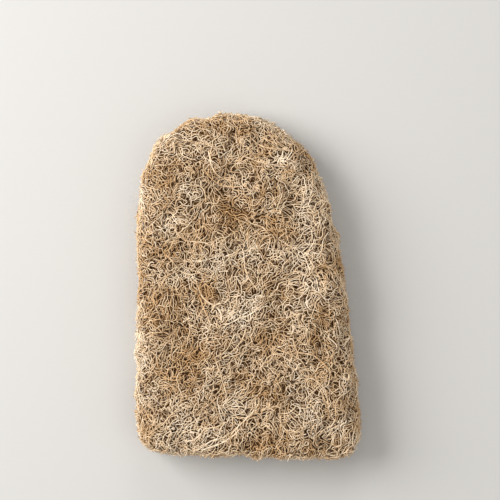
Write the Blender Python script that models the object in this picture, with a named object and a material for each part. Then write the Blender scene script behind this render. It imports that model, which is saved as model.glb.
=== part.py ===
"""Natural loofah sponge, pressed flat: the dried fibre net of a luffa fruit.

One grown piece, so one solid. Its narrow natural end points to +Y and its straight cut end to -Y, and it lies
on its underside. The body is a pillow with the sponge's outline, soft lobes and shallow valleys. Its surface is
a raised net of irregular meshes, coarser than the real fibres, with a lower strand across each mesh. At the cut
end three seed chambers show, pressed to slots. Metres, +Z up, origin under the middle at the resting plane.
"""

import math

import bmesh
import bpy
import numpy as np
from mathutils import Matrix, Vector, geometry
from mathutils.bvhtree import BVHTree

MM = 0.001
SEED = 7

# The outline seen from above, in millimetres, from the middle of the natural end round by the left side
OUTLINE = (
    (-10.0, 72.4),
    (-26.0, 69.0),
    (-38.5, 60.5),
    (-45.0, 45.5),
    (-47.5, 28.0),
    (-47.0, 0.0),
    (-47.7, -30.0),
    (-47.4, -56.0),
    (-45.0, -67.0),
    (-37.0, -70.8),
    (0.0, -72.2),
    (38.0, -72.8),
    (45.6, -68.5),
    (47.7, -58.0),
    (45.0, -32.0),
    (41.6, -6.0),
    (37.5, 22.0),
    (28.0, 51.0),
    (14.6, 65.5),
    (2.0, 71.5),
)
OUTLINE_STEPS = 8  # short straight runs between two of those points
HANDLE_SHARE = 1.0 / 6.0  # of the distance between a point's neighbours, for a smooth curve through the points

# Thickness, in millimetres
TOP_HALF = 12.0  # from the middle plane up to the crown
UNDER_HALF = 11.0  # from the middle plane down to the underside
NATURAL_END_THINNING = 0.36  # share of the thickness lost towards the natural end
THINNING_START = 15.0  # Y where that begins
CROWN_DROP = 1.8  # how much lower the top is near the sides
SIDE_ROUND = 10.0  # radius of the folded sides
CUT_ROUND = 3.5  # radius of the edge at the cut end
CUT_ROUND_REACH = 16.0  # how far from the cut end that radius blends out
MOST_ROUND = 0.98  # largest radius as a share of the half thickness

# Valleys between the lobes on the top: two ends, half width and depth, in millimetres
VALLEYS = (
    ((-6.0, 66.0), (-7.0, 20.0), 5.0, 2.2),
    ((-3.0, 14.0), (19.0, -21.0), 4.5, 1.5),
    ((-30.0, 18.0), (-21.0, -34.0), 6.0, 1.4),
    ((16.0, 44.0), (24.0, 6.0), 5.0, 1.3),
    ((6.0, -20.0), (-3.0, -66.0), 6.0, 1.5),
)
LOBE_HEIGHT = 0.9
LOBE_LENGTHS = (31.0, 43.0)  # wavelengths of the soft lobes across and along
LOBE_STARTS = (0.7, 0.4)  # where their waves start, in radians

# How the body's surface is found, in millimetres
PROBE = 0.05  # step with which its slope is measured
LEAST_SLOPE = 0.05  # keeps a point from being thrown far off where the slope is flat
LEVEL_SIDE = 1e-9  # an outline side with less rise than this counts as level
ONTO_STEPS = 3

# The raised net
MESH_LEVEL = 4  # icosphere level: 642 meshes all round
SPREAD_ROUNDS = 8
RELAX_STEPS = 8
RELAX_SHARE = 0.8
JITTER = 0.16  # sideways shift of a mesh's middle, as a share of the spacing
PIT_RIM = 0.01  # the first inset of each mesh, which keeps its rim apart from its floor, in millimetres
PIT_SHARE = (0.66, 0.80)  # width of a pit's floor against its mesh
PIT_DEPTH = (2.6, 3.8)  # millimetres
PIT_STEEPNESS = 0.5  # most depth against the width of the mesh
UNDER_STRAND = (0.45, 0.8)  # depth of the strand that crosses a pit, as a share of the pit's depth
MOST_MENDS = 12
MEND_SHARE = 0.6  # how much of its depth a pit keeps where it would run into another
CREST_ROUGHNESS = 0.45  # how unevenly the crests stand, in millimetres
REST_SPOT = (0.0, -4.0)  # middle of the flat spot it rests on
REST_SPOT_RADIUS = 9.0
PRESSED = 0.9  # how much of the underside's crests is pressed flat, in millimetres

# Seed chambers at the cut end: X, Z, half width, half height and depth, in millimetres
CHAMBERS = (
    (-26.0, 0.4, 6.9, 3.4, 34.0),
    (2.5, -0.8, 7.0, 3.8, 38.0),
    (27.5, 0.8, 6.6, 3.2, 30.0),
)
CHAMBER_NARROWING = 0.35  # width of a chamber's inner end against its mouth
CHAMBER_SIDES = 12
CHAMBER_OVERSHOOT = 3.0  # how far a cutter stands out of the cut end

FIBRE_COLOUR = (0.49, 0.33, 0.19, 1.0)
FIBRE_ROUGHNESS = 0.62


def start_empty():
    for obj in list(bpy.data.objects):
        bpy.data.objects.remove(obj, do_unlink=True)


def smooth_outline():
    """The outline as one closed polygon, with a curve through OUTLINE's points."""
    points = [Vector((x, y, 0.0)) for x, y in OUTLINE]
    count = len(points)
    loop = []
    for i in range(count):
        before, start, end, after = (points[(i + k) % count] for k in (-1, 0, 1, 2))
        run = geometry.interpolate_bezier(
            start,
            start + (end - before) * HANDLE_SHARE,
            end - (after - start) * HANDLE_SHARE,
            end,
            OUTLINE_STEPS + 1,
        )
        loop.extend(run[:-1])
    return np.array([(p.x, p.y) for p in loop])


def outline_distance(xy, loop):
    """Distance of each point from the outline, negative inside."""
    start, end = loop, np.roll(loop, -1, axis=0)
    side = end - start
    offset = xy[:, None, :] - start[None, :, :]
    along = np.clip((offset * side).sum(2) / (side**2).sum(1), 0.0, 1.0)
    gap = np.linalg.norm(offset - along[..., None] * side, axis=2).min(axis=1)
    above = (start[:, 1] > xy[:, None, 1]) != (end[:, 1] > xy[:, None, 1])
    rise = np.where(np.abs(side[:, 1]) < LEVEL_SIDE, LEVEL_SIDE, side[:, 1])
    crossing = start[:, 0] + offset[:, :, 1] / rise * side[:, 0]
    inside = (above & (xy[:, None, 0] < crossing)).sum(axis=1) % 2 == 1
    return np.where(inside, -gap, gap)


def valley_depth(x, y):
    """How far the valleys between the lobes lower the top."""
    depth = np.zeros_like(x)
    for (x0, y0), (x1, y1), half_width, most in VALLEYS:
        run = np.array((x1 - x0, y1 - y0))
        along = np.clip(((x - x0) * run[0] + (y - y0) * run[1]) / (run**2).sum(), 0.0, 1.0)
        away = np.hypot(x - x0 - along * run[0], y - y0 - along * run[1])
        depth += most * np.exp(-((away / half_width) ** 2)) * (1.0 - (2.0 * along - 1.0) ** 4)
    return depth


def half_thickness(x, y, top):
    """The body's half thickness above or below the middle plane."""
    towards_end = np.clip((y - THINNING_START) / (max(p[1] for p in OUTLINE) - THINNING_START), 0.0, 1.0)
    thinning = 1.0 - NATURAL_END_THINNING * towards_end**2
    across, length = LOBE_LENGTHS
    start_x, start_y = LOBE_STARTS
    lobes = np.sin(2 * math.pi * x / across + start_x) * np.cos(2 * math.pi * y / length + start_y)
    crown = CROWN_DROP * (x / max(p[0] for p in OUTLINE)) ** 2
    above = TOP_HALF - crown + LOBE_HEIGHT * lobes - valley_depth(x, y)
    return np.where(top, above, UNDER_HALF) * thinning


def body_gap(points, loop):
    """A distance-like value: zero on the body's surface, negative inside."""
    x, y, z = points.T
    half = half_thickness(x, y, z > 0.0)
    from_cut = np.clip((y - min(p[1] for p in OUTLINE)) / CUT_ROUND_REACH, 0.0, 1.0)
    blend = from_cut * from_cut * (3.0 - 2.0 * from_cut)
    radius = np.minimum(CUT_ROUND + (SIDE_ROUND - CUT_ROUND) * blend, half * MOST_ROUND)
    out = outline_distance(points[:, :2], loop) + radius
    up = np.abs(z) - (half - radius)
    corner = np.hypot(np.maximum(out, 0.0), np.maximum(up, 0.0))
    return corner + np.minimum(np.maximum(out, up), 0.0) - radius


def outward(points, loop):
    """The direction straight out of the body at each point, and the gap there."""
    gap = body_gap(points, loop)
    slope = np.empty_like(points)
    for axis in range(3):
        moved = points.copy()
        moved[:, axis] += PROBE
        slope[:, axis] = (body_gap(moved, loop) - gap) / PROBE
    return slope, gap


def onto_body(points, loop):
    for _ in range(ONTO_STEPS):
        slope, gap = outward(points, loop)
        points = points - slope * (gap / np.maximum((slope**2).sum(axis=1), LEAST_SLOPE))[:, None]
    return points


def spread_over_body(bm, loop):
    """Moves an icosphere's vertices onto the body, evenly spread, and returns their places."""
    bm.verts.index_update()
    sphere = np.array([v.co[:] for v in bm.verts])
    sphere /= np.linalg.norm(sphere, axis=1)[:, None]
    angle = np.arctan2(sphere[:, 1], sphere[:, 0])
    loop_angle = np.arctan2(loop[:, 1], loop[:, 0])
    order = np.argsort(loop_angle)
    reach = np.interp(angle, loop_angle[order], np.linalg.norm(loop, axis=1)[order], period=2 * math.pi)
    radius = reach * np.sqrt(1.0 - np.abs(sphere[:, 2]))
    places = np.column_stack((radius * np.cos(angle), radius * np.sin(angle), TOP_HALF * sphere[:, 2]))
    places = onto_body(places, loop)
    for _ in range(SPREAD_ROUNDS):
        places = relax(places, np.array([[v.index for v in f.verts] for f in bm.faces]), loop)
        for vert, place in zip(bm.verts, places):
            vert.co = place
        bmesh.ops.beautify_fill(bm, faces=bm.faces[:], edges=bm.edges[:])
    return places


def relax(places, faces, loop):
    """Slides points along the body towards the middle of the triangles round each, the larger ones more."""
    for _ in range(RELAX_STEPS):
        corners = places[faces]
        weight = np.linalg.norm(np.cross(corners[:, 1] - corners[:, 0], corners[:, 2] - corners[:, 0]), axis=1)
        pull = corners.mean(axis=1) * weight[:, None]
        total = np.bincount(faces.ravel(), np.repeat(weight, 3))
        mean = np.column_stack([np.bincount(faces.ravel(), np.repeat(pull[:, k], 3)) for k in range(3)])
        shift = RELAX_SHARE * (mean / total[:, None] - places)
        slope, gap = outward(places, loop)
        steep = (slope**2).sum(axis=1)[:, None]
        shift -= slope * ((shift * slope).sum(axis=1)[:, None] / steep)
        places = places + shift - slope * gap[:, None] / steep
    return places


def mesh_of_cells(bm):
    """Turns a triangle mesh into one with a face for each of its vertices."""
    mesh = bpy.data.meshes.new("net_points")
    bm.to_mesh(mesh)
    guide = bpy.data.objects.new("net_points", mesh)
    bpy.context.scene.collection.objects.link(guide)
    tree = bpy.data.node_groups.new("face_for_each_point", "GeometryNodeTree")
    tree.interface.new_socket("Geometry", in_out="INPUT", socket_type="NodeSocketGeometry")
    tree.interface.new_socket("Geometry", in_out="OUTPUT", socket_type="NodeSocketGeometry")
    entry = tree.nodes.new("NodeGroupInput")
    dual = tree.nodes.new("GeometryNodeDualMesh")
    result = tree.nodes.new("NodeGroupOutput")
    tree.links.new(entry.outputs[0], dual.inputs[0])
    tree.links.new(dual.outputs[0], result.inputs[0])
    guide.modifiers.new("face_for_each_point", "NODES").node_group = tree
    bpy.context.view_layer.update()
    cells = bpy.data.meshes.new_from_object(guide.evaluated_get(bpy.context.evaluated_depsgraph_get()))
    bpy.data.objects.remove(guide, do_unlink=True)
    return cells


class Pit:
    """One mesh of the net: its floor is sunk, but for a lower strand that crosses it from corner to corner."""

    def __init__(self, floor, rng):
        self.verts = floor.verts[:]
        self.middle = floor.calc_center_median()
        self.inward = -floor.normal
        self.rims = [v.co.copy() for v in self.verts]
        self.share = rng.uniform(*PIT_SHARE)
        self.depth = min(rng.uniform(*PIT_DEPTH), PIT_STEEPNESS * math.sqrt(floor.calc_area()))
        first = int(rng.integers(len(self.verts)))
        opposite = (first + len(self.verts) // 2) % len(self.verts)
        self.strand = (self.verts[first], self.verts[opposite])
        self.strand_depth = rng.uniform(*UNDER_STRAND)

    def press(self):
        for vert, rim in zip(self.verts, self.rims):
            depth = self.depth * (self.strand_depth if vert in self.strand else 1.0)
            vert.co = self.middle + (rim - self.middle) * self.share + self.inward * depth


def crossing_faces(bm):
    """The faces that run through another one which shares no corner with them."""
    faces = bm.faces[:]
    tree = BVHTree.FromBMesh(bm, epsilon=0.0)
    met = set()
    for a, b in tree.overlap(tree):
        if a < b and not set(faces[a].verts) & set(faces[b].verts):
            met.update((faces[a], faces[b]))
    return met


def press_pits(bm, floors, rng):
    """Sinks a pit into each of the faces, and makes those that would run into each other shallower."""
    bmesh.ops.inset_individual(bm, faces=floors, thickness=PIT_RIM)
    pits = [Pit(floor, rng) for floor in floors]
    for pit in pits:
        pit.press()
        bmesh.ops.connect_verts(bm, verts=list(pit.strand))
    pit_of = {vert: pit for pit in pits for vert in pit.verts}
    bmesh.ops.triangulate(bm, faces=bm.faces[:], quad_method="SHORT_EDGE", ngon_method="BEAUTY")
    for _ in range(MOST_MENDS):
        shallower = {pit_of[v] for face in crossing_faces(bm) for v in face.verts if v in pit_of}
        if not shallower:
            break
        for pit in shallower:
            pit.depth *= MEND_SHARE
            pit.press()


def raised_net(loop, rng):
    """The body with a pit pressed into each mesh of the net, so that the crests stand as strands."""
    bm = bmesh.new()
    bmesh.ops.create_icosphere(bm, subdivisions=MESH_LEVEL, radius=1.0)
    places = spread_over_body(bm, loop)
    spacing = np.mean([edge.calc_length() for edge in bm.edges])
    places = onto_body(places + rng.normal(0.0, JITTER * spacing, places.shape), loop)
    for vert, place in zip(bm.verts, places):
        vert.co = place
    bmesh.ops.beautify_fill(bm, faces=bm.faces[:], edges=bm.edges[:])
    cells = mesh_of_cells(bm)
    bm.clear()
    bm.from_mesh(cells)
    bmesh.ops.recalc_face_normals(bm, faces=bm.faces[:])
    crests = onto_body(np.array([v.co[:] for v in bm.verts]), loop)
    slope, _ = outward(crests, loop)
    slope /= np.linalg.norm(slope, axis=1)[:, None]
    crests += slope * rng.normal(0.0, CREST_ROUGHNESS, len(crests))[:, None]
    crests[:, 2] = np.maximum(crests[:, 2], PRESSED - UNDER_HALF)
    for vert, crest in zip(bm.verts, crests):
        vert.co = crest
    bm.normal_update()
    spot = Vector((*REST_SPOT, -UNDER_HALF))
    pitted = [f for f in bm.faces if (f.calc_center_median() - spot).length > REST_SPOT_RADIUS]
    press_pits(bm, pitted, rng)
    return bm


def in_metres(bm, name):
    """The finished solid or cutter as an object in metres."""
    mesh = bpy.data.meshes.new(name)
    bmesh.ops.transform(bm, matrix=Matrix.Scale(MM, 4), verts=bm.verts[:])
    bm.to_mesh(mesh)
    bm.free()
    return bpy.data.objects.new(name, mesh)


def chamber_cutter(number, x, z, half_width, half_height, depth):
    """A seed chamber pressed to a slot: a flattened cone that narrows inwards from the cut end."""
    mouth = min(p[1] for p in OUTLINE) - CHAMBER_OVERSHOOT
    bm = bmesh.new()
    bmesh.ops.create_cone(
        bm,
        cap_ends=True,
        segments=CHAMBER_SIDES,
        radius1=1.0,
        radius2=CHAMBER_NARROWING,
        depth=depth + CHAMBER_OVERSHOOT,
        matrix=Matrix.Rotation(math.radians(-90.0), 4, "X"),
    )
    middle = mouth + (depth + CHAMBER_OVERSHOOT) / 2.0
    place = Matrix.Translation((x, middle, z)) @ Matrix.Diagonal((half_width, 1.0, half_height, 1.0))
    bmesh.ops.transform(bm, matrix=place, verts=bm.verts[:])
    cutter = in_metres(bm, f"chamber_cutter_{number}")
    cutter.hide_render = True
    cutter.display_type = "WIRE"
    return cutter


def fibre_material():
    material = bpy.data.materials.new("dried_luffa_fibre")
    material.use_nodes = True
    surface = material.node_tree.nodes["Principled BSDF"]
    surface.inputs["Base Color"].default_value = FIBRE_COLOUR
    surface.inputs["Roughness"].default_value = FIBRE_ROUGHNESS
    surface.inputs["Metallic"].default_value = 0.0
    return material


def cut(sponge, cutter):
    chamber = sponge.modifiers.new(cutter.name, "BOOLEAN")
    chamber.operation = "DIFFERENCE"
    chamber.solver = "EXACT"
    chamber.object = cutter


def main():
    start_empty()
    sponge_parts = bpy.data.collections.new("natural_loofah_sponge")
    cutters = bpy.data.collections.new("cutters")
    for collection in (sponge_parts, cutters):
        bpy.context.scene.collection.children.link(collection)
    net = raised_net(smooth_outline(), np.random.default_rng(SEED))
    corners = np.array([v.co[:] for v in net.verts])
    low, high = corners.min(axis=0), corners.max(axis=0)
    sponge = in_metres(net, "loofah_sponge")
    sponge.data.materials.append(fibre_material())
    sponge_parts.objects.link(sponge)
    origin = Vector(((low[0] + high[0]) / 2.0, (low[1] + high[1]) / 2.0, low[2])) * MM
    for number, sizes in enumerate(CHAMBERS, 1):
        cutter = chamber_cutter(number, *sizes)
        cutters.objects.link(cutter)
        cut(sponge, cutter)
        cutter.location = -origin
    sponge.location = -origin


main()
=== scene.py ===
"""The looks of the pressed loofah sponge: a net of dried fibres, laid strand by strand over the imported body.

Every piece is worked out from the body's box. Strands walk over the sponge's surface at their own depth,
curl, rise and dip, and are swept into tubes. Lengths inside the script are millimetres. Meshes, lights and
the sizes in the panel are in metres.
"""

import math
from collections.abc import Callable
from typing import NamedTuple

import bpy
import numpy as np
from bpy.props import FloatProperty, FloatVectorProperty, IntProperty, PointerProperty
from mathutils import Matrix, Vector


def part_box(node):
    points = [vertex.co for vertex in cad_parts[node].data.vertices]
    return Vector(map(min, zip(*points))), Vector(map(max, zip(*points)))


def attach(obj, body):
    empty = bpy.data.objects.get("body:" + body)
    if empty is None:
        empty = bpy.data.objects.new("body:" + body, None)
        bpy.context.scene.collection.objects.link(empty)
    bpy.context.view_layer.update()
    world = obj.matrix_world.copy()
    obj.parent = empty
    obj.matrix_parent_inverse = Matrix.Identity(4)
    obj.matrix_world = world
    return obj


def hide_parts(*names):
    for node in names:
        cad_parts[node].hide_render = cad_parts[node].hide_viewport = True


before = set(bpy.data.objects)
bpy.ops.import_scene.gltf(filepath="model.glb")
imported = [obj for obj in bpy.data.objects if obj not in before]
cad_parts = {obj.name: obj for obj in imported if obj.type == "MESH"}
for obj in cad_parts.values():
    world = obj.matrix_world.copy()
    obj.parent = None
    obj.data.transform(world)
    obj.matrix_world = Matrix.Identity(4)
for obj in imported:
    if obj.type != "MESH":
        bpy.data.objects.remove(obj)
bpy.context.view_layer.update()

bl_info = {
    "name": "Natural loofah sponge",
    "version": (1, 0, 0),
    "blender": (4, 5, 0),
    "location": "3D View > Sidebar > Loofah",
    "description": "Grows the fibre net of a pressed loofah sponge over its body",
    "category": "Object",
}

MM = 0.001
BODY = "root"
NODE = "loofah_sponge"
LOW, HIGH = (np.array(corner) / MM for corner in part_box(NODE))
HALF_WIDTH, HALF_LENGTH = (HIGH[:2] - LOW[:2]) / 2.0
THICKNESS = HIGH[2] - LOW[2]
TINY = 1e-9  # keeps divisions away from zero

# The outline, from the middle of the natural end round by the left side, as shares of half width and length
OUTLINE = (
    (-0.209, 0.997),
    (-0.545, 0.950),
    (-0.806, 0.834),
    (-0.942, 0.628),
    (-0.995, 0.388),
    (-0.984, 0.004),
    (-0.999, -0.407),
    (-0.993, -0.764),
    (-0.942, -0.914),
    (-0.775, -0.967),
    (0.000, -0.986),
    (0.796, -0.994),
    (0.955, -0.935),
    (0.999, -0.792),
    (0.942, -0.435),
    (0.871, -0.078),
    (0.785, 0.305),
    (0.586, 0.703),
    (0.306, 0.902),
    (0.042, 0.984),
)
OUTLINE_STEPS = 8
HANDLE_PARTS = 6.0  # a curve's handle is a sixth of the run between the points before and after it

# The body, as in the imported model
CREST = 0.3  # how far the solid's crests stand past the smooth body
CREST_ROOM = 1.3  # what lobes and crests take of the thickness
UNDER_HALF = 10.1  # from the resting plane up to the middle plane
TOP_HALF = THICKNESS - UNDER_HALF - CREST_ROOM
NATURAL_END_THINNING = 0.36
THINNING_START = 15.0
CROWN_DROP = 1.8
SIDE_ROUND = 9.5
CUT_ROUND = 3.0
CUT_ROUND_REACH = 16.0
MOST_ROUND = 0.98  # of the half thickness
LOBE_HEIGHT = 0.9
LOBE_LENGTHS = (31.0, 43.0)
LOBE_STARTS = (0.7, 0.4)
VALLEYS = (  # two ends, half width and depth
    ((-6.0, 66.0), (-7.0, 20.0), 5.0, 2.2),
    ((-3.0, 14.0), (19.0, -21.0), 4.5, 1.5),
    ((-30.0, 18.0), (-21.0, -34.0), 6.0, 1.4),
    ((16.0, 44.0), (24.0, 6.0), 5.0, 1.3),
    ((6.0, -20.0), (-3.0, -66.0), 6.0, 1.5),
)
CHAMBERS = (  # X, Z from the middle plane, half width, half height and depth
    (-26.0, 0.4, 6.9, 3.4, 34.0),
    (2.5, -0.8, 7.0, 3.8, 38.0),
    (27.5, 0.8, 6.6, 3.2, 30.0),
)
CHAMBER_NARROWING = 0.35
CHAMBER_WALL = 1.25  # how steeply the gap grows across a chamber's wall
CHAMBER_END = 0.5  # and past its inner end

# Small lumps and dips of the net, which fade out above the pressed underside
CLUMP_HEIGHT = 0.4
CLUMP_WAVES = 14
CLUMP_LENGTHS = (7.0, 13.0)
CLUMP_START = 2.0
CLUMP_RISE = 5.0

# The grid that the body is read from
GRID = 1.0
GRID_MARGIN = 7.0
INNER_GRID = 2  # the inner mass is drawn from every second of the grid's points
INNER_DEPTH = 3.2
LOWEST = 0.12  # nothing of the net comes nearer the resting plane than this, plus its own radius

# Waves of the fibres' way: how many, the shortest and the longest; those of the combed patches also a middle
NET_WAY = (8, 13.0, 34.0)
NET_PULL = (0.0, 0.0, 0.0)
NET_COMBED = (10, 12.0, 26.0, 0.25)
LONG_WAY = (6, 30.0, 70.0)
LONG_PULL = (0.5, -1.6, 0.0)  # long strands run mostly along the fruit
LONG_COMBED = (6, 30.0, 60.0, 0.7)

# How strands find room in the net
CROWD_GRID = 0.5
CROWD_MARGIN = 3.0
SEED_TRIES = 12
SEED_CHOICES = 5
SEED_CHANCE = 0.15
SEED_SHELL = 2.5
FEEL_AHEAD = 0.6
FEEL_ASIDE = 0.54
MOST_TURN = 1.4  # radians a millimetre

# How strands differ and walk
CURL_SPREAD = 0.35
WIDTH_SPREAD = 0.2
WAVE_LENGTHS = (2.6, 6.0)  # from one rise over a neighbour to the next
LEAST_LEAN = 0.15  # how much a strand still leans to the common way in a curly patch
CURLY_CURL = 1.15  # its share of curl in a curly patch, and what a combed one takes of it
COMBED_CALM = 0.8
DIVE_REACH = 2.0  # the length at each end that sinks or stands out
SETTLING = 0.65  # the share of the way to its own depth that a strand makes up at each step

# The shape of a strand's tube
FLATNESS = 0.85
THREE_SIDED = 1.13  # a three-sided tube is drawn this much thicker to look as wide as a round one
UNEVENNESS = 0.14
UNEVEN_TURN = 1.3  # radians a step
FULL_TURN = 6.28

# The map that holds each strand's skin as a strip
STRIP_SHAPE = 0.35  # columns to rows
STRIP_MARGIN = 0.06

# The net's layers in each region: strand length for each square millimetre, and step
TOP_LAYERS = (("outer", 3.2, 0.72), ("middle", 1.4, 0.85), ("deep", 0.7, 1.0))
EDGE_LAYERS = (("outer", 2.3, 0.82), ("middle", 1.0, 0.9))
UNDER_LAYERS = (("outer", 1.2, 0.9), ("middle", 0.6, 0.9))
PLAN_AREA = 0.87 * 4 * HALF_WIDTH * HALF_LENGTH
RIM_AREA = 2.6 * (HALF_WIDTH + HALF_LENGTH) * THICKNESS
# Strands in the order in which they grow: their length, their share of the net and whether they lie across it
BATCHES = (("long", 16.0, 0.4, False), ("short", 11.0, 0.35, True), ("filling", 7.0, 0.25, False))
FACING = 0.45  # a place whose outward way rises or falls by more than this is on the top or underneath
CUT_FACING = 0.75
CUT_REACH = 3.0

TOP_STRONG, EDGE_STRONG = 70, 40
STRONG_STEPS, STRONG_STEP = 30, 0.75
STRONG_SEED = 71
TOP_STRAY, EDGE_STRAY, CUT_STRAY = 500, 420, 260
STRAY_STEPS, STRAY_STEP = 7, 0.6
STRAY_SEED = 83

# Patterns of the fibre, and the painted shade of its depths
PATCHES = 18.0
PATCH_SPREAD, PATCH_START = 2.0, -0.8  # what the patches' noise is multiplied by, and what is added
TONE_SPREAD = 0.7  # how far each strand's own tone moves it from pale to brown
GOLDEN_AT = 0.45  # where golden stands between the palest fibres and the brown ones
GRAIN = 0.35
GRAIN_DEPTH = 0.06
# Painted shade: strands are darkened to the shade brown the deeper they lie
PAINTED_SHADE_FROM = 0.5  # painted shade: the depth where a strand starts to darken to the shade brown, and where it has
PAINTED_SHADE_TO = 2.4
PAINTED_SHADE_MOST = 0.95  # the share of painted shade brown in it there
INNER_FIBRES = 1.4
INNER_WAVINESS = 3.0
INNER_BEND = 2.0
INNER_RELIEF = 0.4
# Painted shade between the inner mass's fibres
INNER_GAP_PAINTED_SHADE = "#523413"

# The stage: each lamp's place and size in metres and its power, and what the camera sees
LAMPS = (
    ("key_light", (-0.75, 0.27, 0.55), 0.75, 12.9),
    ("fill_light", (0.7, -0.3, 0.8), 0.9, 2.0),
    ("rim_light", (0.1, 0.9, 0.5), 0.5, 2.0),
)
SKY_COLOUR = (1.0, 0.99, 0.98)
SKY_STRENGTH = 0.44
FLOOR_SIZE = 6.0
PHOTO_SIDE = 500.0  # pixels
MM_PER_PIXEL = 0.424
SPONGE_MIDDLE_PIXEL = (248.5, 285.0)
CAMERA_DISTANCE = 760.0


def linear(hex_colour):
    """An sRGB hex colour as the linear red, green and blue that shaders use."""
    parts = (int(hex_colour[i : i + 2], 16) / 255.0 for i in (1, 3, 5))
    return tuple(p / 12.92 if p <= 0.04045 else ((p + 0.055) / 1.055) ** 2.4 for p in parts)


class LoofahSizes(bpy.types.PropertyGroup):
    fibre_width: FloatProperty(
        name="Fibre width",
        description="Width of an ordinary fibre",
        default=0.35 * MM,
        min=0.2 * MM,
        max=1.2 * MM,
        precision=5,
        unit="LENGTH",
    )
    strand_width: FloatProperty(
        name="Long strand width",
        description="Width of the stronger strands",
        default=0.46 * MM,
        min=0.3 * MM,
        max=1.5 * MM,
        precision=5,
        unit="LENGTH",
    )
    fullness: FloatProperty(
        name="Fullness",
        description="Fibre in the net, 1 for as much as in the photo",
        default=1.0,
        min=0.3,
        max=1.0,
        subtype="FACTOR",
    )
    seed: IntProperty(name="Seed", description="Another seed grows another sponge", default=11)


class LoofahColours(bpy.types.PropertyGroup):
    straw: FloatVectorProperty(
        name="Straw",
        description="The palest fibres",
        subtype="COLOR",
        size=3,
        default=linear("#FAE8CE"),
    )
    golden: FloatVectorProperty(
        name="Golden",
        description="The common fibre colour",
        subtype="COLOR",
        size=3,
        default=linear("#EDD3AF"),
    )
    brown: FloatVectorProperty(
        name="Brown",
        description="Older, toasted fibres",
        subtype="COLOR",
        size=3,
        default=linear("#CAA270"),
    )
    # Painted shade: deep strands and the inner mass are darkened to this brown in place of the shade in the
    # net's hollows
    painted_shade: FloatVectorProperty(
        name="Inner brown",
        description="Fibres deep inside",
        subtype="COLOR",
        size=3,
        default=linear("#7A5222"),
    )
    floor: FloatVectorProperty(
        name="Floor",
        description="The pale floor",
        subtype="COLOR",
        size=3,
        default=linear("#CAC8C4"),
    )


def unit(vectors):
    return vectors / np.maximum(np.linalg.norm(vectors, axis=-1, keepdims=True), TINY)


def along_surface(vectors, out):
    """The vectors turned to lie in the surface, whose outward way at each is out."""
    return unit(vectors - out * (vectors * out).sum(axis=1)[:, None])


def smooth_outline():
    """The outline as one closed polygon in millimetres."""
    reach = np.array((HALF_WIDTH - CREST, HALF_LENGTH - CREST))
    points = np.array(OUTLINE) * reach
    before, after, later = (np.roll(points, k, axis=0) for k in (1, -1, -2))
    first = points + (after - before) / HANDLE_PARTS
    second = after - (later - points) / HANDLE_PARTS
    share = (np.arange(OUTLINE_STEPS) / OUTLINE_STEPS)[None, :, None]
    runs = (
        (1 - share) ** 3 * points[:, None]
        + 3 * (1 - share) ** 2 * share * first[:, None]
        + 3 * (1 - share) * share**2 * second[:, None]
        + share**3 * after[:, None]
    )
    return runs.reshape(-1, 2)


def outline_distance(x, y, loop):
    """Distance of each point of the plan from the outline, negative inside."""
    xy = np.stack((x.ravel(), y.ravel()), axis=1)
    start, end = loop, np.roll(loop, -1, axis=0)
    side = end - start
    offset = xy[:, None, :] - start[None, :, :]
    along = np.clip((offset * side).sum(2) / (side**2).sum(1), 0.0, 1.0)
    gap = np.linalg.norm(offset - along[..., None] * side, axis=2).min(axis=1)
    spans = (start[:, 1] > xy[:, None, 1]) != (end[:, 1] > xy[:, None, 1])
    rise = np.where(np.abs(side[:, 1]) < TINY, TINY, side[:, 1])
    crossing = start[:, 0] + offset[:, :, 1] / rise * side[:, 0]
    inside = (spans & (xy[:, None, 0] < crossing)).sum(axis=1) % 2 == 1
    return np.where(inside, -gap, gap).reshape(x.shape)


class Waves:
    """A smooth random field: a sum of sine waves in every direction, about a middle value."""

    def __init__(self, rng, count, shortest, longest, middle=0.0):
        self.middle = middle
        way = rng.normal(size=(count, 3))
        way /= np.linalg.norm(way, axis=1)[:, None]
        self.steps = way * (2 * math.pi / rng.uniform(shortest, longest, count))[:, None]
        self.starts = rng.uniform(0.0, 2 * math.pi, count)

    def at(self, points):
        waves = np.sin(points @ self.steps.T + self.starts).sum(axis=-1)
        return self.middle + waves * math.sqrt(2.0 / len(self.starts))


class FibreWay:
    """Which way the fibres tend to lie, and where they lie combed side by side instead of curly."""

    def __init__(self, rng, waves, middles, combed_waves):
        self.fields = [Waves(rng, *waves, middle) for middle in middles]
        self.combed_field = Waves(rng, *combed_waves)

    def pull(self, points):
        return np.stack([field.at(points) for field in self.fields], axis=1)

    def combed(self, points):
        """From 0 in curly patches to 1 in combed ones."""
        return np.clip(self.combed_field.at(points), 0.0, 1.0)


def grid_corners(points, start, spacing, last):
    """The eight grid points round each point, one after the other, with the share that each has in it."""
    at = (points - start) / spacing
    cell = np.clip(np.floor(at).astype(int), 0, last)
    part = np.clip(at - cell, 0.0, 1.0)
    for corner in np.ndindex(2, 2, 2):
        share = np.prod(np.where(np.array(corner) == 1, part, 1.0 - part), axis=-1)
        yield tuple(np.moveaxis(cell + corner, -1, 0)), share


def valley_depth(x, y):
    """How deep the pressed folds lie at each place, with valleys that fade out at both ends."""
    depth = np.zeros_like(x)
    for (x0, y0), (x1, y1), half_width, most in VALLEYS:
        run = np.array((x1 - x0, y1 - y0))
        along = np.clip(((x - x0) * run[0] + (y - y0) * run[1]) / (run**2).sum(), 0.0, 1.0)
        away = np.hypot(x - x0 - along * run[0], y - y0 - along * run[1])
        depth += most * np.exp(-((away / half_width) ** 2)) * (1.0 - (2.0 * along - 1.0) ** 4)
    return depth


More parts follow.
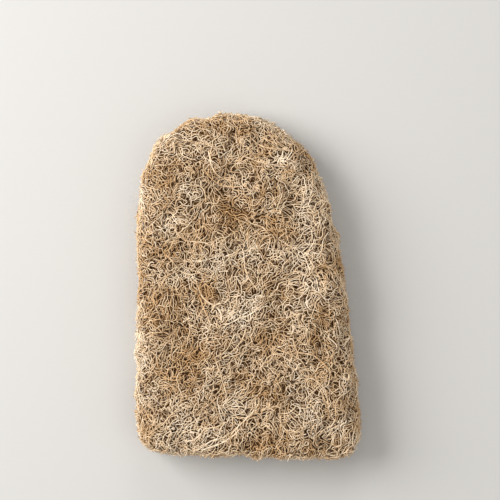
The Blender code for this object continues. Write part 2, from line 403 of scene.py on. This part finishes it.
class Body:
    """The sponge's smooth body on a grid: how far outside it a point is, and the way straight out."""

    def __init__(self, rng):
        reach = np.array((HALF_WIDTH, HALF_LENGTH)) + GRID_MARGIN
        self.start = np.array((-reach[0], -reach[1], -GRID_MARGIN))
        size = np.array((2 * reach[0], 2 * reach[1], THICKNESS + 2 * GRID_MARGIN))
        counts = np.ceil(size / GRID).astype(int)
        self.last = counts - 2
        x, y, z = (self.start[k] + GRID * np.arange(counts[k]) for k in range(3))
        plan_x, plan_y = np.meshgrid(x, y, indexing="ij")
        away = outline_distance(plan_x, plan_y, smooth_outline())
        at = (plan_x[..., None], plan_y[..., None], z[None, None, :] - UNDER_HALF)
        gap = np.maximum(self.body_gap(*at, away[..., None]), -self.chamber_gap(*at))
        places = np.stack(np.meshgrid(x, y, z, indexing="ij"), axis=-1)
        lumps = CLUMP_HEIGHT * Waves(rng, CLUMP_WAVES, *CLUMP_LENGTHS).at(places)
        gap = gap + lumps * np.clip((places[..., 2] - CLUMP_START) / CLUMP_RISE, 0.0, 1.0)
        slope = np.stack(np.gradient(gap, GRID), axis=-1)
        self.values = np.concatenate((gap[..., None], slope), axis=-1).astype(np.float32)

    @staticmethod
    def body_gap(x, y, z, away):
        """Distance-like value of the body without its chambers, negative inside, with z from its middle."""
        towards_end = np.clip((y - THINNING_START) / (HALF_LENGTH - THINNING_START), 0.0, 1.0)
        thinning = 1.0 - NATURAL_END_THINNING * towards_end**2
        across = np.sin(2 * math.pi * x / LOBE_LENGTHS[0] + LOBE_STARTS[0])
        lobes = across * np.cos(2 * math.pi * y / LOBE_LENGTHS[1] + LOBE_STARTS[1])
        above = TOP_HALF - CROWN_DROP * (x / HALF_WIDTH) ** 2 + LOBE_HEIGHT * lobes - valley_depth(x, y)
        half = np.where(z > 0.0, above, UNDER_HALF) * thinning
        from_cut = np.clip((y + HALF_LENGTH) / CUT_ROUND_REACH, 0.0, 1.0)
        blend = from_cut * from_cut * (3.0 - 2.0 * from_cut)
        radius = np.minimum(CUT_ROUND + (SIDE_ROUND - CUT_ROUND) * blend, half * MOST_ROUND)
        out = away + radius
        up = np.abs(z) - (half - radius)
        corner = np.hypot(np.maximum(out, 0.0), np.maximum(up, 0.0))
        return corner + np.minimum(np.maximum(out, up), 0.0) - radius

    @staticmethod
    def chamber_gap(x, y, z):
        """Distance-like value of the seed chambers, negative in the hollow."""
        nearest = np.full(np.broadcast_shapes(x.shape, y.shape, z.shape), math.inf)
        for middle_x, middle_z, half_width, half_height, depth in CHAMBERS:
            share = np.clip((y + HALF_LENGTH) / depth, 0.0, 1.0)
            narrowed = 1.0 - (1.0 - CHAMBER_NARROWING) * share
            ring = np.hypot((x - middle_x) / half_width, (z - middle_z) / half_height) - narrowed
            past = (y + HALF_LENGTH - depth) * CHAMBER_END
            nearest = np.minimum(nearest, np.maximum(ring * half_height * CHAMBER_WALL, past))
        return nearest

    def look(self, points):
        """The gap and the outward way at each point, read between the grid's points."""
        corners = grid_corners(points, self.start, GRID, self.last)
        total = sum(share[..., None] * self.values[cells] for cells, share in corners)
        return total[..., 0], unit(total[..., 1:])


class Crowding:
    """How much fibre lies where in one layer of the net, so that new strands turn to its emptier places."""

    def __init__(self):
        self.start = np.array((-HALF_WIDTH, -HALF_LENGTH, 0.0)) - CROWD_MARGIN
        size = np.array((2 * HALF_WIDTH, 2 * HALF_LENGTH, THICKNESS)) + 2 * CROWD_MARGIN
        self.laid = np.zeros(np.ceil(size / CROWD_GRID).astype(int), np.float32)
        self.last = np.array(self.laid.shape) - 2

    def lay(self, points, amount):
        for cells, share in grid_corners(points, self.start, CROWD_GRID, self.last):
            np.add.at(self.laid, cells, share * amount)

    def at(self, points):
        corners = grid_corners(points, self.start, CROWD_GRID, self.last)
        return sum(share * self.laid[cells] for cells, share in corners)


class Kind(NamedTuple):
    """How one kind of strand grows."""

    level: float  # its depth under the surface
    curl: float  # how sharply it bends, in radians a millimetre
    hold: float  # how much of its bend it keeps from one step to the next
    heed: float  # how hard it turns to the emptier side
    lean: float  # how hard it turns to the common way
    wave: float  # how far it rises and dips past its neighbours
    spread: float  # how much depth differs from strand to strand
    dive: float  # how far its ends sink, or stand out if negative


LAYERS = {
    "outer": Kind(level=0.45, curl=0.72, hold=0.65, heed=2.6, lean=0.7, wave=0.26, spread=0.26, dive=1.5),
    "middle": Kind(level=1.45, curl=0.72, hold=0.65, heed=2.6, lean=0.6, wave=0.26, spread=0.3, dive=1.2),
    "deep": Kind(level=2.45, curl=0.6, hold=0.7, heed=2.0, lean=0.5, wave=0.3, spread=0.4, dive=0.8),
}
STRONG = Kind(level=0.5, curl=0.24, hold=0.85, heed=0.8, lean=0.2, wave=0.42, spread=0.15, dive=2.2)
STRAY = Kind(level=0.6, curl=0.5, hold=0.7, heed=0.0, lean=0.0, wave=0.1, spread=0.2, dive=-1.15)


class Batch(NamedTuple):
    """The strands of one piece."""

    name: str
    keep: Callable  # tells from places and outward ways where these strands may start
    kind: Kind
    count: int
    width: float
    steps: int
    step: float
    sides: int
    crossing: bool = False  # whether they lie across the common way


def seeds_in_shell(body, rng, crowd, batch):
    """Points in the net just under the surface, where the batch may start and its layer is emptiest."""
    low = np.array((-HALF_WIDTH, -HALF_LENGTH, 0.0))
    high = np.array((HALF_WIDTH, HALF_LENGTH, THICKNESS))
    found = []
    while sum(map(len, found)) < batch.count * SEED_CHOICES:
        points = rng.uniform(low, high, (batch.count * SEED_TRIES, 3))
        gap, out = body.look(points)
        chosen = (gap < 0.0) & (gap > -SEED_SHELL) & batch.keep(points, out)
        found.append(points[chosen] + out[chosen] * (-batch.kind.level - gap[chosen])[:, None])
    points = np.concatenate(found)[: batch.count * SEED_CHOICES]
    fullness = crowd.at(points) + rng.uniform(0.0, SEED_CHANCE, len(points))
    return points[np.argsort(fullness)[: batch.count]]


def grow(body, rng, crowd, way, batch, seeds):
    """Walks a strand from every seed over the body's surface.

    Returns the points, the outward way at each and each strand's radius.
    """
    kind, steps, step = batch.kind, batch.steps, batch.step
    count = len(seeds)
    place = seeds.copy()
    heading = unit(rng.normal(size=(count, 3)))
    curl = kind.curl * rng.lognormal(0.0, CURL_SPREAD, count)
    bend = rng.normal(0.0, 1.0, count)
    beat = 2 * math.pi / rng.uniform(*WAVE_LENGTHS, count)
    beat_start = rng.uniform(0.0, 2 * math.pi, count)
    depth = kind.level + rng.uniform(-kind.spread, kind.spread, count)
    radius = 0.5 * batch.width * rng.lognormal(0.0, WIDTH_SPREAD, count)
    path = np.empty((count, steps, 3))
    outs = np.empty((count, steps, 3))
    for k in range(steps):
        gap, out = body.look(place)
        heading = along_surface(heading, out)

        # Turn to the way that the fibres round it take
        combed = way.combed(place)
        pull = along_surface(way.pull(place), out)
        if batch.crossing:
            pull = np.cross(out, pull)
        pull *= np.sign((pull * heading).sum(axis=1))[:, None]
        heading = unit(heading + (kind.lean * (LEAST_LEAN + combed) * step)[:, None] * pull)

        # Curl, and turn from what lies ahead on the fuller side
        side = np.cross(out, heading)
        middle = place + out * (-kind.level - gap)[:, None]
        ahead = middle + FEEL_AHEAD * heading
        fuller_right = crowd.at(ahead - FEEL_ASIDE * side) - crowd.at(ahead + FEEL_ASIDE * side)
        crowd.lay(middle, step / CROWD_GRID)
        bend = kind.hold * bend + rng.normal(0.0, math.sqrt(1.0 - kind.hold**2), count)
        calm = curl * (CURLY_CURL - COMBED_CALM * combed)
        turn = (calm * bend + np.clip(kind.heed * fuller_right, -MOST_TURN, MOST_TURN)) * step
        heading = heading * np.cos(turn)[:, None] + side * np.sin(turn)[:, None]

        # Settle to its own depth, over and under its neighbours
        from_end = min(k, steps - 1 - k) * step
        dive = kind.dive * max(0.0, 1.0 - from_end / DIVE_REACH) ** 2
        target = -(depth + kind.wave * np.sin(beat * k * step + beat_start) + dive)
        place = place + out * ((target - gap) * (SETTLING if k else 1.0))[:, None]
        place[:, 2] = np.maximum(place[:, 2], LOWEST + radius)
        path[:, k], outs[:, k] = place, out
        place = place + heading * step
    return path, outs, radius


def smoothed(path):
    inner = 0.25 * path[:, :-2] + 0.5 * path[:, 1:-1] + 0.25 * path[:, 2:]
    return np.concatenate((path[:, :1], inner, path[:, -1:]), axis=1)


def tube_faces(count, steps, sides):
    """Faces of the tubes by their points' numbers: the four-sided ones, then the fans at both ends."""
    here = np.arange(sides)
    beside = (here + 1) % sides
    first = (np.arange(count * steps) * sides).reshape(count, steps)
    low, high = first[:, :-1, None], first[:, 1:, None]
    quads = np.stack((low + here, low + beside, high + beside, high + here), axis=-1)
    tip = count * steps * sides + np.arange(count * 2).reshape(count, 2)
    start, end = first[:, 0, None], first[:, -1, None]
    at_start = np.broadcast_to(tip[:, :1], (count, sides))
    at_end = np.broadcast_to(tip[:, 1:], (count, sides))
    start_fans = np.stack((start + beside, start + here, at_start), axis=-1)
    end_fans = np.stack((end + here, end + beside, at_end), axis=-1)
    return quads.reshape(-1, 4), start_fans.reshape(-1, 3), end_fans.reshape(-1, 3)


def tubes(body, rng, batch, path, outs, radius):
    """Sweeps every path into a closed tube with pointed ends, as one object."""
    sides = batch.sides
    radius = radius * (THREE_SIDED if sides == 3 else 1.0)
    path = smoothed(path)
    count, steps = path.shape[:2]
    ahead = unit(np.gradient(path, axis=1))
    across = unit(np.cross(outs, ahead))
    over = np.cross(ahead, across)
    uneven_start = rng.uniform(0, FULL_TURN, (count, 1))
    uneven = 1.0 + UNEVENNESS * np.sin(np.arange(steps)[None, :] * UNEVEN_TURN + uneven_start)
    width = radius[:, None] * uneven
    path[..., 2] = np.maximum(path[..., 2], LOWEST + width)

    angle = (math.pi / 2 + 2 * math.pi * np.arange(sides) / sides)[:, None]
    ring = np.cos(angle) * across[:, :, None, :] + FLATNESS * np.sin(angle) * over[:, :, None, :]
    rings = path[:, :, None, :] + width[..., None, None] * ring
    tips = path[:, (0, -1)] + np.stack((-ahead[:, 0], ahead[:, -1]), axis=1) * radius[:, None, None]
    tips[..., 2] = np.maximum(tips[..., 2], LOWEST)
    verts = np.concatenate((rings.reshape(-1, 3), tips.reshape(-1, 3)))

    # What the material reads: how deep each point lies, for the painted shade of deep strands, and each
    # strand's own tone
    gap, _ = body.look(path)
    depth = np.concatenate((np.repeat(-gap.ravel(), sides), -gap[:, (0, -1)].ravel()))
    tone = rng.uniform(0.0, 1.0, count)
    tone = np.concatenate((np.repeat(tone, steps * sides), np.repeat(tone, 2)))
    faces = tube_faces(count, steps, sides)
    places = strip_map(count, steps, sides)
    return mesh_object(batch.name, verts, faces, {"depth": depth, "tone": tone}, places)


def strip_map(count, steps, sides):
    """A place on the map for every corner: each strand's skin is its own strip, cut open and laid flat."""
    columns = max(1, round(math.sqrt(count * STRIP_SHAPE)))
    rows = math.ceil(count / columns)
    corner = np.stack((np.arange(count) % columns, np.arange(count) // columns), axis=1)
    size = (1.0 - STRIP_MARGIN) / np.array((columns, rows))
    origin = corner / np.array((columns, rows)) + size * STRIP_MARGIN / 2
    along = (1.0 + np.arange(steps)) / (steps + 1.0)
    round_it = np.arange(sides + 1) / sides

    def placed(u, v):
        """Places inside one strip, put into every strand's own strip."""
        u, v = np.broadcast_arrays(u, v)
        flat = np.stack((u, v), axis=-1)[None] * size
        return (origin.reshape(count, *(1,) * (flat.ndim - 2), 2) + flat).reshape(-1, 2)

    low, high = along[:-1, None, None], along[1:, None, None]
    here, beside = round_it[None, :-1, None], round_it[None, 1:, None]
    at_low = np.array((True, True, False, False))
    at_here = np.array((True, False, False, True))
    quads = placed(np.where(at_low, low, high), np.where(at_here, here, beside))
    left, right = round_it[:-1, None], round_it[1:, None]
    middle = (left + right) / 2
    start_u = np.array((along[0], along[0], 0.0))[None]
    end_u = np.array((along[-1], along[-1], 1.0))[None]
    start = placed(start_u, np.concatenate((right, left, middle), axis=1))
    end = placed(end_u, np.concatenate((left, right, middle), axis=1))
    return np.concatenate((quads, start, end))


def mesh_object(name, verts, face_sets, values, places=None):
    """An object from points in millimetres and faces, with named values for each point and a map."""
    mesh = bpy.data.meshes.new(name)
    mesh.vertices.add(len(verts))
    mesh.vertices.foreach_set("co", (verts * MM).astype(np.float32).ravel())
    corners = np.concatenate([faces.ravel() for faces in face_sets])
    sizes = np.concatenate([np.full(len(faces), faces.shape[1]) for faces in face_sets])
    mesh.loops.add(len(corners))
    mesh.loops.foreach_set("vertex_index", corners.astype(np.int32))
    mesh.polygons.add(len(sizes))
    mesh.polygons.foreach_set("loop_start", np.concatenate(([0], np.cumsum(sizes)[:-1])).astype(np.int32))
    mesh.update(calc_edges=True)
    mesh.shade_smooth()
    if places is not None:
        layer = mesh.uv_layers.new(name="OFBake", do_init=False)
        layer.uv.foreach_set("vector", places.astype(np.float32).ravel())
    for label, numbers in values.items():
        layer = mesh.attributes.new(label, "FLOAT", "POINT")
        layer.data.foreach_set("value", numbers.astype(np.float32))
    piece = bpy.data.objects.new(name, mesh)
    bpy.context.scene.collection.objects.link(piece)
    return piece


def surface_of(values, start, spacing, level):
    """The surface where a grid's values pass the level, with one point in each cell that it crosses."""
    inside = values < level
    reach = np.array(inside.shape) - 1
    corners = (
        inside[i : i + reach[0], j : j + reach[1], k : k + reach[2]].astype(int)
        for i, j, k in np.ndindex(2, 2, 2)
    )
    filled = sum(corners)
    crossed = (filled > 0) & (filled < 8)
    number = np.full(crossed.shape, -1)
    number[crossed] = np.arange(crossed.sum())
    cells = np.argwhere(crossed)
    total, weight = np.zeros((len(cells), 3)), np.zeros(len(cells))
    faces = []
    for axis in range(3):
        one = np.eye(3, dtype=int)[axis]
        others = [k for k in range(3) if k != axis]
        u, v = np.eye(3, dtype=int)[others]

        # Each cell's point is the middle of the places where its edges cross the level
        for i, j in np.ndindex(2, 2):
            a = cells + i * u + j * v
            b = a + one
            at_a, at_b = values[tuple(a.T)], values[tuple(b.T)]
            cut = (at_a < level) != (at_b < level)
            share = np.where(cut, (level - at_a) / np.where(cut, at_b - at_a, 1.0), 0.0)
            total[cut] += (a + share[:, None] * one)[cut]
            weight[cut] += 1.0

        # Each edge that crosses it has a face between the four cells round it
        beyond = np.roll(inside, -1, axis=axis)
        for from_outside, crossing in enumerate((inside & ~beyond, ~inside & beyond)):
            edge = np.argwhere(crossing)
            edge = edge[(edge[:, others] > 0).all(axis=1) & (edge < np.array(number.shape)).all(axis=1)]
            face = np.stack([number[tuple((edge - d).T)] for d in (u + v, v, 0 * u, u)], axis=1)
            face = face[(face >= 0).all(axis=1)]
            flip = (from_outside == 1) != (axis == 1)
            faces.append(face[:, ::-1] if flip else face)
    return start + spacing * total / weight[:, None], np.concatenate(faces)


def dress(piece, material):
    """Sets the piece's material and says what it stands for."""
    piece.data.materials.append(material)
    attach(piece, BODY)
    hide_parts(NODE)


def add_node(tree, kind, inputs=(), **settings):
    """Adds a node, with its settings, and for each input either a value or the output that feeds it."""
    node = tree.nodes.new(kind)
    for name, value in settings.items():
        setattr(node, name, value)
    for name, value in dict(inputs).items():
        if isinstance(value, bpy.types.NodeSocket):
            tree.links.new(value, node.inputs[name])
        else:
            node.inputs[name].default_value = value
    return node


def opaque(colour):
    return (*colour, 1.0)


def new_material(name):
    """An empty node material."""
    material = bpy.data.materials.new(name)
    material.use_nodes = True
    material.node_tree.nodes.clear()
    return material


def dried_luffa_fibre(colours):
    """Fibre bundles of the luffa, soaked, peeled clean and dried in the sun.

    Drying leaves them matt and straw to golden. Deeper in the net they are darkened to a brown that is painted
    shade, standing in for the shade in the net's hollows.
    """
    material = bpy.data.materials.get("dried_luffa_fibre")
    if material:
        return material
    material = new_material("dried_luffa_fibre")
    tree = material.node_tree
    place = add_node(tree, "ShaderNodeTexCoord").outputs["Object"]
    tone = add_node(tree, "ShaderNodeAttribute", attribute_name="tone").outputs["Fac"]
    depth = add_node(tree, "ShaderNodeAttribute", attribute_name="depth").outputs["Fac"]

    # Sun and drying leave patches that are more or less toasted, and each fibre has its own tone
    patches = add_node(
        tree,
        "ShaderNodeTexNoise",
        {"Vector": place, "Scale": 1 / (PATCHES * MM), "Detail": 2.0},
    )
    toasted = add_node(
        tree,
        "ShaderNodeMath",
        {0: patches.outputs["Fac"], 1: PATCH_SPREAD, 2: PATCH_START},
        operation="MULTIPLY_ADD",
    )
    mixed_tone = add_node(
        tree,
        "ShaderNodeMath",
        {0: tone, 1: TONE_SPREAD, 2: toasted.outputs[0]},
        operation="MULTIPLY_ADD",
    )
    ramp = add_node(tree, "ShaderNodeValToRGB", {"Fac": mixed_tone.outputs[0]})
    palest, darkest = ramp.color_ramp.elements
    palest.color = opaque(colours.straw)
    darkest.color = opaque(colours.brown)
    ramp.color_ramp.elements.new(GOLDEN_AT).color = opaque(colours.golden)
    # Painted shade: the deeper a strand lies, the more it is mixed to the shade brown
    painted_depth_shade = add_node(
        tree,
        "ShaderNodeMapRange",
        {"Value": depth, "From Min": PAINTED_SHADE_FROM, "From Max": PAINTED_SHADE_TO, "To Min": 0.0, "To Max": PAINTED_SHADE_MOST},
    )
    colour = add_node(
        tree,
        "ShaderNodeMix",
        {"Factor": painted_depth_shade.outputs[0], "A": ramp.outputs[0], "B": opaque(colours.painted_shade)},
        data_type="RGBA",
    )

    # The bundles split and dry unevenly. Their own grain is finer, and is drawn this coarse to show
    grain = add_node(
        tree,
        "ShaderNodeTexNoise",
        {"Vector": place, "Scale": 1 / (GRAIN * MM), "Detail": 2.0},
    )
    bump = add_node(
        tree,
        "ShaderNodeBump",
        {"Height": grain.outputs["Fac"], "Strength": 0.5, "Distance": GRAIN_DEPTH * MM},
    )
    rough = add_node(
        tree,
        "ShaderNodeMapRange",
        {"Value": grain.outputs["Fac"], "From Min": 0.3, "From Max": 0.7, "To Min": 0.48, "To Max": 0.7},
    )
    surface = add_node(
        tree,
        "ShaderNodeBsdfPrincipled",
        {
            "Base Color": colour.outputs["Result"],
            "Roughness": rough.outputs[0],
            "Normal": bump.outputs[0],
            "IOR": 1.5,
        },
    )
    add_node(tree, "ShaderNodeOutputMaterial", {"Surface": surface.outputs[0]})
    return material


def matted_inner_fibre_painted_shade(colours):
    """The fibre mass under the net, matted by the press and too deep to see strand by strand.

    Its colours are painted shade for the net's depths: along its fibres the shade brown, darker between them.
    It is rough.
    """
    material = new_material("matted_inner_fibre_painted_shade")
    tree = material.node_tree
    place = add_node(tree, "ShaderNodeTexCoord").outputs["Object"]
    wavy = add_node(
        tree,
        "ShaderNodeTexNoise",
        {"Vector": place, "Scale": 1 / (INNER_WAVINESS * MM), "Detail": 2.0},
    )
    bent = add_node(
        tree,
        "ShaderNodeMix",
        {"Factor": INNER_BEND * MM, "A": place, "B": wavy.outputs["Color"]},
        data_type="VECTOR",
    )
    cells = add_node(
        tree,
        "ShaderNodeTexVoronoi",
        {"Vector": bent.outputs["Result"], "Scale": 1 / (INNER_FIBRES * MM)},
        feature="DISTANCE_TO_EDGE",
    )
    fibre = add_node(
        tree,
        "ShaderNodeMapRange",
        {"Value": cells.outputs["Distance"], "From Min": 0.05, "From Max": 0.3, "To Min": 1.0, "To Max": 0.0},
    )
    # Painted shade: the fibres take the shade brown and the gaps between them a darker painted shade
    colour = add_node(
        tree,
        "ShaderNodeMix",
        {"Factor": fibre.outputs[0], "A": opaque(linear(INNER_GAP_PAINTED_SHADE)), "B": opaque(colours.painted_shade)},
        data_type="RGBA",
    )
    bump = add_node(
        tree,
        "ShaderNodeBump",
        {"Height": fibre.outputs[0], "Strength": 0.8, "Distance": INNER_RELIEF * MM},
    )
    surface = add_node(
        tree,
        "ShaderNodeBsdfPrincipled",
        {"Base Color": colour.outputs["Result"], "Roughness": 0.85, "Normal": bump.outputs[0]},
    )
    add_node(tree, "ShaderNodeOutputMaterial", {"Surface": surface.outputs[0]})
    return material


def matt_pale_paint(colours):
    """Flat wall paint, rolled on: even and without gloss, so it only shows the light and the shadow."""
    material = new_material("matt_pale_paint")
    tree = material.node_tree
    surface = add_node(
        tree,
        "ShaderNodeBsdfPrincipled",
        {"Base Color": opaque(colours.floor), "Roughness": 0.9},
    )
    add_node(tree, "ShaderNodeOutputMaterial", {"Surface": surface.outputs[0]})
    return material


GROWN = {}


def sponge_body(seed):
    """The body, the fibres' way and the crowding of each layer, worked out once for each seed."""
    if seed not in GROWN:
        rng = np.random.default_rng(seed)
        body = Body(rng)
        GROWN[seed] = (body, FibreWay(rng, NET_WAY, NET_PULL, NET_COMBED), {})
    return GROWN[seed]


def on_top(points, out):
    return out[:, 2] > FACING


def underneath(points, out):
    return out[:, 2] < -FACING


def on_side(points, out):
    return np.abs(out[:, 2]) <= FACING


def on_cut(points, out):
    return (out[:, 1] < -CUT_FACING) & (points[:, 1] < CUT_REACH - HALF_LENGTH)


def lay_strands(body, rng, crowd, way, batch, material):
    """Grows the strands of one piece where there is room, and adds them as one dressed object."""
    seeds = seeds_in_shell(body, rng, crowd, batch)
    path, outs, radius = grow(body, rng, crowd, way, batch, seeds)
    dress(tubes(body, rng, batch, path, outs, radius), material)


def lay_net(context, region, keep, area, layers):
    """Grows each layer of the net in one region, long strands first and shorter ones in what room is left."""
    sizes = context.scene.loofah_sizes
    body, way, crowds = sponge_body(sizes.seed)
    material = dried_luffa_fibre(context.scene.loofah_colours)
    for layer, per_area, step in layers:
        crowd = crowds.setdefault(layer, Crowding())
        rng = np.random.default_rng((sizes.seed, *map(ord, region + layer)))
        for label, length, share, crossing in BATCHES:
            batch = Batch(
                name=f"{region}_{layer}_{label}",
                keep=keep,
                kind=LAYERS[layer],
                count=int(area * per_area * share * sizes.fullness / length),
                width=sizes.fibre_width / MM,
                steps=round(length / step) + 1,
                step=step,
                sides=3,
                crossing=crossing,
            )
            lay_strands(body, rng, crowd, way, batch, material)


class LOOFAH_OT_inner_mass(bpy.types.Operator):
    """Adds the matted fibre mass that fills the sponge under its net"""

    bl_idname = "loofah.inner_mass"
    bl_label = "Inner mass"

    def execute(self, context):
        body, _, _ = sponge_body(context.scene.loofah_sizes.seed)
        coarse = body.values[::INNER_GRID, ::INNER_GRID, ::INNER_GRID, 0].astype(float)
        verts, faces = surface_of(coarse, body.start, GRID * INNER_GRID, -INNER_DEPTH)
        verts[:, 2] = np.maximum(verts[:, 2], LOWEST)
        piece = mesh_object("inner_fibre_mass", verts, (faces,), {})
        # The mass stands for the fibre deeper in the net; its brown is painted shade
        dress(piece, matted_inner_fibre_painted_shade(context.scene.loofah_colours))
        return {"FINISHED"}


class LOOFAH_OT_top_net(bpy.types.Operator):
    """Grows the curly fibre net of the upper side, in three layers"""

    bl_idname = "loofah.top_net"
    bl_label = "Top net"

    def execute(self, context):
        lay_net(context, "top_net", on_top, PLAN_AREA, TOP_LAYERS)
        return {"FINISHED"}


class LOOFAH_OT_edge_net(bpy.types.Operator):
    """Grows the net round the edges, over the cut end and into the seed chambers"""

    bl_idname = "loofah.edge_net"
    bl_label = "Edge net"

    def execute(self, context):
        lay_net(context, "edge_net", on_side, RIM_AREA, EDGE_LAYERS)
        return {"FINISHED"}


class LOOFAH_OT_under_net(bpy.types.Operator):
    """Grows the net of the pressed underside"""

    bl_idname = "loofah.under_net"
    bl_label = "Under net"

    def execute(self, context):
        lay_net(context, "under_net", underneath, PLAN_AREA, UNDER_LAYERS)
        return {"FINISHED"}


class LOOFAH_OT_strands(bpy.types.Operator):
    """Lays the stronger, straighter long strands over the net"""

    bl_idname = "loofah.strands"
    bl_label = "Long strands"

    def execute(self, context):
        sizes = context.scene.loofah_sizes
        body, _, _ = sponge_body(sizes.seed)
        rng = np.random.default_rng((sizes.seed, STRONG_SEED))
        way = FibreWay(rng, LONG_WAY, LONG_PULL, LONG_COMBED)
        material = dried_luffa_fibre(context.scene.loofah_colours)
        crowd = Crowding()
        width = sizes.strand_width / MM
        groups = (
            ("top_long_strands", on_top, TOP_STRONG),
            ("edge_long_strands", on_side, EDGE_STRONG),
        )
        for name, keep, count in groups:
            batch = Batch(name, keep, STRONG, count, width, STRONG_STEPS, STRONG_STEP, sides=4)
            lay_strands(body, rng, crowd, way, batch, material)
        return {"FINISHED"}


class LOOFAH_OT_stray_ends(bpy.types.Operator):
    """Adds the broken and cut fibre ends that stand off the net"""

    bl_idname = "loofah.stray_ends"
    bl_label = "Stray ends"

    def execute(self, context):
        sizes = context.scene.loofah_sizes
        body, way, _ = sponge_body(sizes.seed)
        rng = np.random.default_rng((sizes.seed, STRAY_SEED))
        material = dried_luffa_fibre(context.scene.loofah_colours)
        width = sizes.fibre_width / MM
        groups = (
            ("top_stray_ends", on_top, TOP_STRAY),
            ("edge_stray_ends", on_side, EDGE_STRAY),
            ("cut_stray_ends", on_cut, CUT_STRAY),
        )
        for name, keep, count in groups:
            batch = Batch(name, keep, STRAY, count, width, STRAY_STEPS, STRAY_STEP, sides=3)
            lay_strands(body, rng, Crowding(), way, batch, material)
        return {"FINISHED"}


class LOOFAH_OT_stage(bpy.types.Operator):
    """Adds the pale floor, the soft lights and the camera over the sponge"""

    bl_idname = "loofah.stage"
    bl_label = "Stage"

    def execute(self, context):
        scene = context.scene
        bpy.ops.mesh.primitive_plane_add(size=FLOOR_SIZE, location=(0.0, 0.0, 0.0))
        floor = context.active_object
        floor.name = "floor"
        floor.data.materials.append(matt_pale_paint(scene.loofah_colours))

        for name, place, size, power in LAMPS:
            data = bpy.data.lights.new(name, "AREA")
            data.size, data.energy = size, power
            lamp = bpy.data.objects.new(name, data)
            lamp.location = place
            lamp.rotation_euler = (-Vector(place)).to_track_quat("-Z", "Y").to_euler()
            scene.collection.objects.link(lamp)
        world = bpy.data.worlds.new("soft_studio")
        world.use_nodes = True
        background = world.node_tree.nodes["Background"]
        background.inputs["Color"].default_value = opaque(SKY_COLOUR)
        background.inputs["Strength"].default_value = SKY_STRENGTH
        scene.world = world
        scene.view_settings.view_transform = "Standard"

        # The camera looks straight down, and the sponge stands in the picture where the photo has it
        data = bpy.data.cameras.new("camera")
        data.angle = 2 * math.atan(PHOTO_SIDE * MM_PER_PIXEL / 2 / CAMERA_DISTANCE)
        camera = bpy.data.objects.new("camera", data)
        across = (PHOTO_SIDE / 2 - SPONGE_MIDDLE_PIXEL[0]) * MM_PER_PIXEL
        along = (SPONGE_MIDDLE_PIXEL[1] - PHOTO_SIDE / 2) * MM_PER_PIXEL
        camera.location = Vector((across, along, UNDER_HALF + CAMERA_DISTANCE)) * MM
        scene.collection.objects.link(camera)
        scene.camera = camera
        return {"FINISHED"}


class LOOFAH_PT_panel(bpy.types.Panel):
    """Lists the sponge's pieces in the sidebar"""

    bl_label = "Loofah sponge"
    bl_idname = "LOOFAH_PT_panel"
    bl_space_type = "VIEW_3D"
    bl_region_type = "UI"
    bl_category = "Loofah"

    def draw(self, context):
        for group in (context.scene.loofah_sizes, context.scene.loofah_colours):
            box = self.layout.box()
            for name in group.__annotations__:
                box.prop(group, name)
        for operator in OPERATORS:
            self.layout.operator(operator.bl_idname)


OPERATORS = (
    LOOFAH_OT_inner_mass,
    LOOFAH_OT_top_net,
    LOOFAH_OT_edge_net,
    LOOFAH_OT_under_net,
    LOOFAH_OT_strands,
    LOOFAH_OT_stray_ends,
    LOOFAH_OT_stage,
)
CLASSES = (LoofahSizes, LoofahColours, *OPERATORS, LOOFAH_PT_panel)


def register():
    for cls in CLASSES:
        bpy.utils.register_class(cls)
    bpy.types.Scene.loofah_sizes = PointerProperty(type=LoofahSizes)
    bpy.types.Scene.loofah_colours = PointerProperty(type=LoofahColours)


def unregister():
    del bpy.types.Scene.loofah_sizes
    del bpy.types.Scene.loofah_colours
    for cls in reversed(CLASSES):
        bpy.utils.unregister_class(cls)


def main():
    register()
    bpy.ops.loofah.inner_mass()
    bpy.ops.loofah.top_net()
    bpy.ops.loofah.edge_net()
    bpy.ops.loofah.under_net()
    bpy.ops.loofah.strands()
    bpy.ops.loofah.stray_ends()
    bpy.ops.loofah.stage()


if __name__ == "__main__":
    main()
